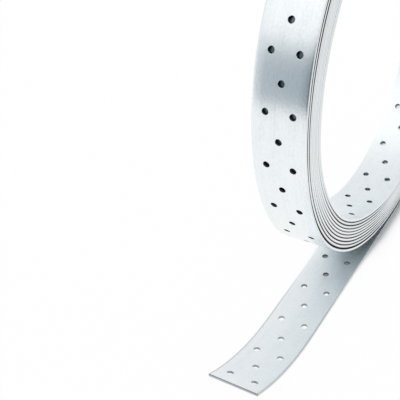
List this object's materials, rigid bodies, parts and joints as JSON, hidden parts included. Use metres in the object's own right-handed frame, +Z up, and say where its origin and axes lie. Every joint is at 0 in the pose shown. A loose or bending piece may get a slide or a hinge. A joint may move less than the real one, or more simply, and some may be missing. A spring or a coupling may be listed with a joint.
{
  "type": "perforated steel strap",
  "caption": "Coil of perforated galvanised steel strap standing on its rim, with its loose end lying flat under it and curling up at the tip.",
  "frame": {"origin": "centre of the coil's open middle, half way across the strap", "axes": "+Y along the coil's axis, across the strap; +Z up, as the coil stands; the loose end points to -X"},
  "size_m": [0.4073, 0.04, 0.3252],
  "materials": {
    "galvanised_steel": "satin galvanised steel, drawn lengthwise, with sheared edges"
  },
  "bodies": {
    "root": {"strap": "galvanised_steel"}
  },
  "joints": []
}
